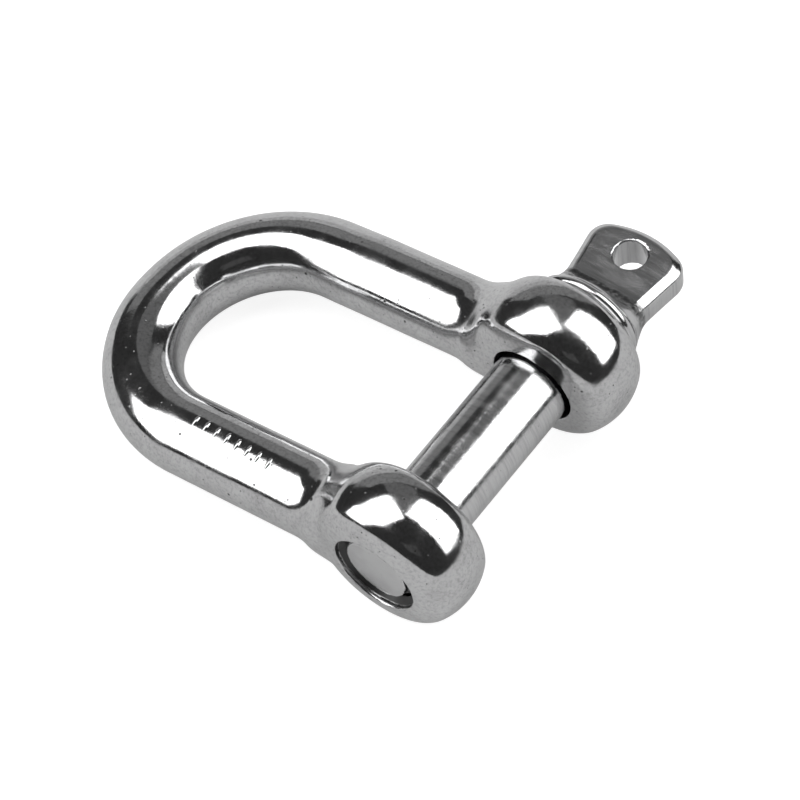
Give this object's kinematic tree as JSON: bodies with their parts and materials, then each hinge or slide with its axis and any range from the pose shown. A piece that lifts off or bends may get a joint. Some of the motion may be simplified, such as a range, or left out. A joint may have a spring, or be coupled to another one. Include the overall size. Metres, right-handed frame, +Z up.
{
  "type": "bow shackle",
  "caption": "Cast steel D-shaped shackle for rigging: a round-bar bow with an ear on each leg, closed by a screw pin that ends in a flat eye.",
  "frame": {"origin": "centre of the pin's clear span between the ears, on the pin's axis", "axes": "+Y along the pin towards its eye, crown of the bow towards -X, +Z up from the surface that the shackle lies on"},
  "size_m": [0.0763, 0.0675, 0.0246],
  "materials": {
    "cast_steel": "polished, with fine casting waviness and small pits",
    "turned_steel": "polished, with fine turning lines round the pin"
  },
  "bodies": {
    "bow": {"bow": "cast_steel"},
    "collar": {"pin_collar": "turned_steel"},
    "pin": {"screw_pin": "turned_steel"}
  },
  "joints": [
    {"name": "pin_travel", "type": "slide", "parent": "bow", "child": "collar", "axis": [0, 1, 0], "range_m": [0, 0.05075]},
    {"name": "pin_turn", "type": "hinge", "parent": "collar", "child": "pin", "pos_m": [0, 0, 0], "axis": [0, 1, 0], "range_deg": [0, 10441]}
  ],
  "couplings": [
    {"joint": "pin_turn", "follows": "pin_travel", "rad_per_m": 3590.4}
  ]
}
